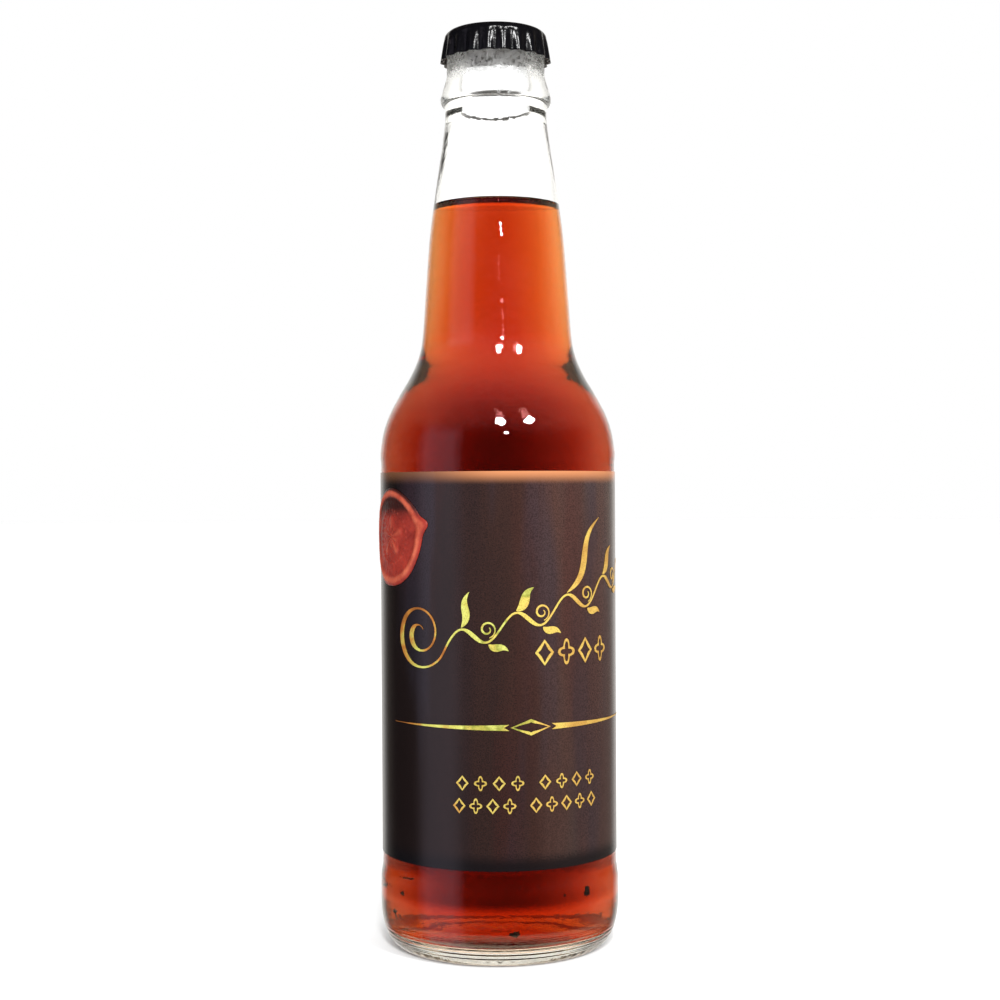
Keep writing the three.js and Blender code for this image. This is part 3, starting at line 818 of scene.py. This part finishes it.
def pen_widths(line, thin, thick):
    """Thick where the line runs down, thin where it runs across, as a broad nib writes."""
    widths = []
    for i in range(len(line)):
        run = run_at(line, i)
        taper = min(1.0, (i + 2) / TAPER_POINTS, (len(line) - i + 1) / TAPER_POINTS)
        widths.append((thin + (thick - thin) * max(0.0, -run.y) ** 1.5) * taper)
    return widths


VOLUTE = {"x": -28.8, "z": 81.4, "turns": 1.8, "start_r": 1.5, "end_r": 8.9, "end_deg": -30}
STEM = {"trough": -24.1, "start": -21.5, "end": 36.6, "mid": 78.2, "rise": 0.3, "wave": 2.5, "period": 13.5}


def volute_point(share):
    angle = math.radians(VOLUTE["end_deg"]) - (1 - share) * VOLUTE["turns"] * 2 * math.pi
    radius = VOLUTE["start_r"] + (VOLUTE["end_r"] - VOLUTE["start_r"]) * share
    return (VOLUTE["x"] + 0.92 * radius * math.cos(angle), VOLUTE["z"] + radius * math.sin(angle))


def stem_point(along):
    past = along - STEM["trough"]
    phase = past / STEM["period"] * 2 * math.pi
    return (along, STEM["mid"] + STEM["rise"] * past - STEM["wave"] * math.cos(phase))


def scroll(foil):
    volute = [volute_point(i / 130) for i in range(129)]
    stem = [stem_point(STEM["start"] + (STEM["end"] - STEM["start"]) * i / 130) for i in range(3, 131)]
    join = spline([volute[-4], volute[-1], stem[0], stem[3]], 6)[7:12]
    line = volute + join + stem
    foil_strip("foil_scroll", line, pen_widths(line, 0.5, 1.5), foil)


def leaf(name, foot, reach, width, foil):
    steps = 28
    reach = Vector(reach)
    across = Vector((-reach.y, reach.x)).normalized()
    line, widths = [], []
    for i in range(steps + 1):
        share = i / steps
        bend = -0.07 * reach.length * math.sin(2 * math.pi * share)
        line.append(tuple(Vector(foot) + reach * share + across * bend))
        widths.append(0.12 + width * math.sin(math.pi * share ** 0.8))
    foil_strip(name, line, widths, foil)


def curl(name, trough, foil):
    steps = 56
    line = []
    for i in range(steps + 1):
        angle = math.radians(-75 + 480 * i / steps)
        radius = 2.1 - 1.5 * i / steps
        line.append((trough[0] + radius * math.cos(angle), trough[1] + 3.1 + radius * math.sin(angle)))
    widths = [0.5 * (0.4 + 0.6 * math.sin(math.pi * i / steps)) for i in range(steps + 1)]
    foil_strip(name, line, widths, foil)


UP_LEAVES = [(2.0, 8.6, 1.8), (4.4, 5.6, 2.2), (11.6, 18.2, 1.8), (4.8, 7.0, 2.0)]
DOWN_LEAVES = [(4.8, -1.6, 1.7), (4.8, -1.6, 1.7), (5.0, -1.2, 1.7), (4.4, -0.2, 1.5)]
LEAF_GAP = 0.55


def vine(foil):
    scroll(foil)
    for i, (x, z, width) in enumerate(UP_LEAVES):
        crest = stem_point(STEM["trough"] + STEM["period"] * (i + 0.5))
        leaf(f"foil_leaf_up_{i + 1}", (crest[0] + 0.3, crest[1] + LEAF_GAP), (x, z), width, foil)
    for i, (x, z, width) in enumerate(DOWN_LEAVES):
        trough = stem_point(STEM["trough"] + STEM["period"] * (i + 1))
        leaf(f"foil_leaf_down_{i + 1}", (trough[0] + 0.3, trough[1] - LEAF_GAP), (x, z), width, foil)
        curl(f"foil_curl_{i + 1}", trough, foil)


def lozenge(half_w, half_h):
    def reach(angle):
        r = 1 / (abs(math.cos(angle)) / half_w + abs(math.sin(angle)) / half_h)
        return r * math.cos(angle), r * math.sin(angle)
    return reach


def quatrefoil(half_w, half_h):
    def reach(angle):
        r = 0.78 + 0.22 * math.cos(4 * angle)
        return half_w * r * math.cos(angle), half_h * r * math.sin(angle)
    return reach


OUTLINE_SIDES = 64


def outline(name, along, z, reach, stroke, foil):
    """A closed stamped stroke. reach(angle) gives its outer edge from its middle."""
    sections = []
    for side in range(OUTLINE_SIDES):
        x, y = reach(2 * math.pi * side / OUTLINE_SIDES)
        inner = 1 - stroke / math.hypot(x, y)
        middle = (1 + inner) / 2
        section = []
        for share, lift in ((inner, 0.7), (middle, 1.0), (1, 0.7), (1, 0), (inner, 0)):
            section.append(on_art(along + x * share, z + y * share, lift * FOIL_THICKNESS))
        sections.append(section)
    foil_piece(name, sections, foil, closed=True)


def ornament_row(name, count, ends, z, half_size, stroke, foil, split=0, gap=0):
    """Lozenges and quatrefoils in turn, from one end to the other, with a gap before number split."""
    start, end = ends
    pitch = (end - start - gap) / (count - 1)
    for i in range(count):
        along = start + pitch * i + (gap if i >= split else 0)
        shape = (lozenge, quatrefoil)[i % 2](*half_size)
        outline(f"{name}_{i + 1}", along, z, shape, stroke, foil)


DIVIDER_Z = 59
RULE_START, RULE_LENGTH, RULE_STEPS, RULE_NOTCH = 5.4, 33.2, 60, 1.3
RULE_TIP_W, RULE_SWELL = 0.12, 1.35


def divider(foil):
    outline("foil_lozenge", 0, DIVIDER_Z, lozenge(5.1, 2.0), 0.72, foil)
    steps = range(RULE_STEPS + 1)
    widths = [RULE_TIP_W + RULE_SWELL * (1 - i / RULE_STEPS) ** 1.2 for i in steps]
    for name, side in (("foil_rule_left", -1), ("foil_rule_right", 1)):
        line = [(side * (RULE_START + RULE_LENGTH * i / RULE_STEPS), DIVIDER_Z) for i in steps]
        foil_strip(name, line, widths, foil, notch=RULE_NOTCH)


def artwork(foil):
    vine(foil)
    divider(foil)
    ornament_row("foil_mark", 4, (3.6, 21.9), 77, (2.5, 3.2), 0.75, foil)
    ornament_row("foil_upper_bead", 8, (-17, 17.2), 45.5, (1.6, 1.85), 0.5, foil, split=4, gap=2.4)
    ornament_row("foil_lower_bead", 9, (-17.8, 17.8), 40, (1.6, 1.9), 0.5, foil, split=4, gap=2.4)


# ---- Wax seal ---------------------------------------------------------------------------
SEAL_RINGS = 46
SEAL_SIDES = 160
SEAL_BACK_RINGS = 6
DRIP_ANGLE, DRIP_WIDTH, DRIP_LENGTH = 0.24, 0.13, 1.9

# The relief. Places and widths are shares of the way from the seal's middle to its edge.
FIELD_H, PIT_H, EDGE_WIDTH = 0.1, 0.05, 0.05
RIM_AT, RIM_WIDTH, RIM_H = 0.885, 0.072, 0.38
PETALS, PETAL_REACH, PETAL_SWING, PETAL_EDGE, PETAL_H, VEIN_H = 5, 0.33, 0.28, 0.012, 0.1, 0.12
GROOVE_OUT, GROOVE_WIDTH, GROOVE_H = 0.05, 0.025, 0.06
BEADS, BEAD_RING_AT, BEAD_RING_WIDTH, BEAD_H = 30, 0.55, 0.025, 0.2


def hump(place, middle, width):
    return math.exp(-(((place - middle) / width) ** 2))


def seal_edge(angle):
    """The edge's distance from the middle: a wobbling circle with one pointed drip."""
    wobble = 0.25 * math.sin(3 * angle + 0.6) + 0.18 * math.sin(5 * angle)
    turn = (angle - DRIP_ANGLE + math.pi) % (2 * math.pi) - math.pi
    return SEAL_R + wobble + DRIP_LENGTH * hump(turn, 0, DRIP_WIDTH)


def seal_height(share, angle):
    """Relief over the label, by share of the way out and angle."""
    from_top = angle - math.pi / 2
    petal = PETAL_REACH * (1 + PETAL_SWING * math.cos(PETALS * from_top))
    rosette = 1 / (1 + math.exp((share - petal) / PETAL_EDGE))
    veins = 0.5 + 0.5 * math.cos(2 * PETALS * from_top)
    groove = hump(share - petal, GROOVE_OUT, GROOVE_WIDTH)
    beads = hump(share, BEAD_RING_AT, BEAD_RING_WIDTH) * (0.5 + 0.5 * math.cos(BEADS * angle))
    spot = Vector((share * 9 * math.cos(angle), share * 9 * math.sin(angle), 3.0))
    relief = FIELD_H + RIM_H * hump(share, RIM_AT, RIM_WIDTH) + (PETAL_H + VEIN_H * veins) * rosette
    relief = relief - GROOVE_H * groove + BEAD_H * beads + PIT_H * noise.noise(spot)
    edge = min(1.0, (1 - share) / EDGE_WIDTH)
    return relief * edge ** 0.5


def seal_point(share, height, angle):
    blend = min(1.0, max(0.0, (share - 0.72) / 0.28))
    reach = share * (SEAL_R + (seal_edge(angle) - SEAL_R) * blend)
    return around(SEAL_ANGLE + reach * math.cos(angle) / SEAL_FOOT_R, SEAL_FOOT_R + height,
                  SEAL_Z + reach * math.sin(angle))


def wax_seal(wax):
    shares = [k / SEAL_RINGS for k in range(1, SEAL_RINGS + 1)]
    back = [1 - k / SEAL_BACK_RINGS for k in range(1, SEAL_BACK_RINGS)]
    points = [seal_point(0, seal_height(0, 0), 0), seal_point(0, 0, 0)]
    for i in range(SEAL_SIDES):
        angle = 2 * math.pi * i / SEAL_SIDES
        points += [seal_point(s, max(0.02, seal_height(s, angle)), angle) for s in shares]
        points += [seal_point(s, 0, angle) for s in back]
    faces = column_faces(SEAL_SIDES, len(shares) + len(back))
    piece = make_mesh("seal_relief", points, faces, wax, "bottle")
    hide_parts("wax_seal")


# ---- Stage: floor, light, camera --------------------------------------------------------
FLOOR_HALF_M = 6.0


def floor():
    """A plain pale plate, hidden from the rays that pass through the glass or glint off it."""
    mesh = bpy.data.meshes.new("stage_floor")
    half = FLOOR_HALF_M
    corners = [(-half, -half, 0), (half, -half, 0), (half, half, 0), (-half, half, 0)]
    mesh.from_pydata(corners, [], [(0, 1, 2, 3)])
    plate = bpy.data.objects.new("stage_floor", mesh)
    mesh.materials.append(pale_floor())
    plate.visible_glossy = False
    plate.visible_transmission = False
    bpy.context.scene.collection.objects.link(plate)


FILL_LIGHT = (1.12, 1.12, 1.12)
BACK_LIGHT = 1.36
BACK_LEVELS = [     # share of BACK_LIGHT by azimuth in degrees from the bottle's front towards +X
    (-180, 1), (-165, 1.06), (-140, 1.22), (-90, 1.15), (0, 1), (90, 0.95), (140, 0.9), (165, 0.97), (180, 1),
]


def world():
    """A studio that is white to the camera, and an even fill to what it lights.

    A ray through the bottle sees behind_glass, one mirrored off its outside reflected_room, and one
    mirrored inside it room_inside_glass. All three are fixed in the scene.
    """
    room = bpy.data.worlds.new("studio")
    bpy.context.scene.world = room
    room.cycles.sampling_method = "NONE"
    room.use_nodes = True
    nodes = Nodes(room.node_tree)
    x, y, z = nodes.xyz(nodes.add("ShaderNodeTexCoord").outputs["Generated"])
    rays = nodes.add("ShaderNodeLightPath").outputs
    past_glass = nodes.math("ADD", rays["Transmission Depth"], 1.5)
    is_mirrored = nodes.math("GREATER_THAN", rays["Ray Depth"], past_glass)
    is_inside = nodes.math("GREATER_THAN", rays["Transmission Depth"], 0.5)
    mirrored = nodes.mix(is_inside, reflected_room(nodes, x, y, z), room_inside_glass(nodes, x, y, z))
    seen_in_glass = nodes.mix(is_mirrored, behind_glass(nodes, x, y), mirrored)
    colour = nodes.mix(rays["Is Glossy Ray"], (*FILL_LIGHT, 1), seen_in_glass)
    colour = nodes.mix(rays["Is Camera Ray"], colour, (1, 1, 1, 1))
    background = nodes.add("ShaderNodeBackground", Color=colour, Strength=1.0)
    nodes.add("ShaderNodeOutputWorld", Surface=background.outputs[0])


def behind_glass(nodes, x, y):
    """The white light that comes through the bottle, strongest from behind on the left."""
    peak = max(level for _, level in BACK_LEVELS)
    stops = [(azimuth, (level / peak,) * 3) for azimuth, level in BACK_LEVELS]
    return nodes.scaled(nodes.azimuth_ramp(nodes.azimuth_share(x, y), stops), BACK_LIGHT * peak)


def reflected_room(nodes, x, y, z):
    """What glints off the bottle's outside: a dim room with a window on the left."""
    dark, dim, wall = (0.02, 0.02, 0.022), (0.045, 0.036, 0.03), (0.13, 0.11, 0.09)
    window, edge, behind = (0.6, 0.54, 0.66), (0.16, 0.14, 0.12), (1.0, 0.98, 0.94)
    room = nodes.azimuth_ramp(nodes.azimuth_share(x, y), [
        (-180, behind), (-156, behind), (-140, edge), (-120, dark), (-87, dark), (-73, window),
        (-45, window), (-33, dim), (30, dim), (75, wall), (140, edge), (156, behind), (180, behind),
    ])
    above = nodes.band(z, math.sin(math.radians(18)), math.sin(math.radians(36)))
    return nodes.mix(above, room, (*dim, 1))


def room_inside_glass(nodes, x, y, z):
    """What light reflected inside the glass leaves towards: dim in front, bright behind and overhead."""
    dim, bright = (0.05, 0.045, 0.045), (1.2, 1.18, 1.14)
    level = nodes.azimuth_ramp(nodes.azimuth_share(x, y), [
        (-180, bright), (-125, bright), (-85, dim), (85, dim), (125, bright), (180, bright),
    ])
    steep = nodes.band(nodes.math("ABSOLUTE", z), math.sin(math.radians(13)), math.sin(math.radians(30)))
    return nodes.mix(steep, level, (1.8, 1.76, 1.68, 1))


LAMP_DISTANCE_M = 1.0
LAMP_AIM_M = (0, 0, 0.13)
LAMPS = {
    "lamp_middle": {"azimuth": 3, "elevation": 37, "size": 0.15, "watts": 5.0},
    "lamp_right": {"azimuth": 36, "elevation": 36, "size": 0.15, "watts": 5.0},
    "lamp_low": {"azimuth": 8, "elevation": 23, "size": 0.04, "watts": 0.8},
}


def lamp(name, azimuth, elevation, size, watts):
    """A round lamp aimed at the bottle, with its azimuth from the bottle's front towards +X."""
    light = bpy.data.lights.new(name, "AREA")
    light.shape = "DISK"
    light.size = size
    light.energy = watts
    holder = bpy.data.objects.new(name, light)
    turn, rise = math.radians(azimuth), math.radians(elevation)
    way = Vector((math.sin(turn) * math.cos(rise), -math.cos(turn) * math.cos(rise), math.sin(rise)))
    holder.location = Vector(LAMP_AIM_M) + way * LAMP_DISTANCE_M
    holder.rotation_euler = (-way).to_track_quat("-Z", "Y").to_euler()
    holder.visible_camera = False
    bpy.context.scene.collection.objects.link(holder)


def lights():
    for name, setting in LAMPS.items():
        lamp(name, **setting)


CAMERA_DISTANCE_M = 0.44
CAMERA_HEIGHT_M = 0.1166
FOCAL_PX = 1693.6
FRAME_PX = 1000
HORIZON_DROP_PX = 10     # the level line through the lens is this far above the middle of the frame
AXIS_SHIFT_PX = 2.2      # the bottle's axis is this far left of the middle
ROLL_DEG = 0.3


def camera():
    lens = bpy.data.cameras.new("camera")
    lens.sensor_width = 36
    lens.lens = FOCAL_PX / FRAME_PX * lens.sensor_width
    eye = bpy.data.objects.new("camera", lens)
    eye.location = (0, -CAMERA_DISTANCE_M, CAMERA_HEIGHT_M)
    down = math.atan(HORIZON_DROP_PX / FOCAL_PX)
    right = math.atan(AXIS_SHIFT_PX / FOCAL_PX)
    eye.rotation_euler = (math.radians(90) - down, math.radians(ROLL_DEG), -right)
    bpy.context.scene.collection.objects.link(eye)
    bpy.context.scene.camera = eye


def colour_management():
    bpy.context.scene.view_settings.view_transform = "Standard"
    bpy.context.scene.cycles.transmission_bounces = 24
    bpy.context.scene.cycles.max_bounces = 24


camera()
colour_management()
world()
lights()
floor()

glass_bottle(clear_glass())
soda(soda_liquid())
sediment()
crown(black_enamel())
crown_liner(liner_plastic())
wrap_label(label_print())
artwork(gold_foil())
wax_seal(seal_wax())
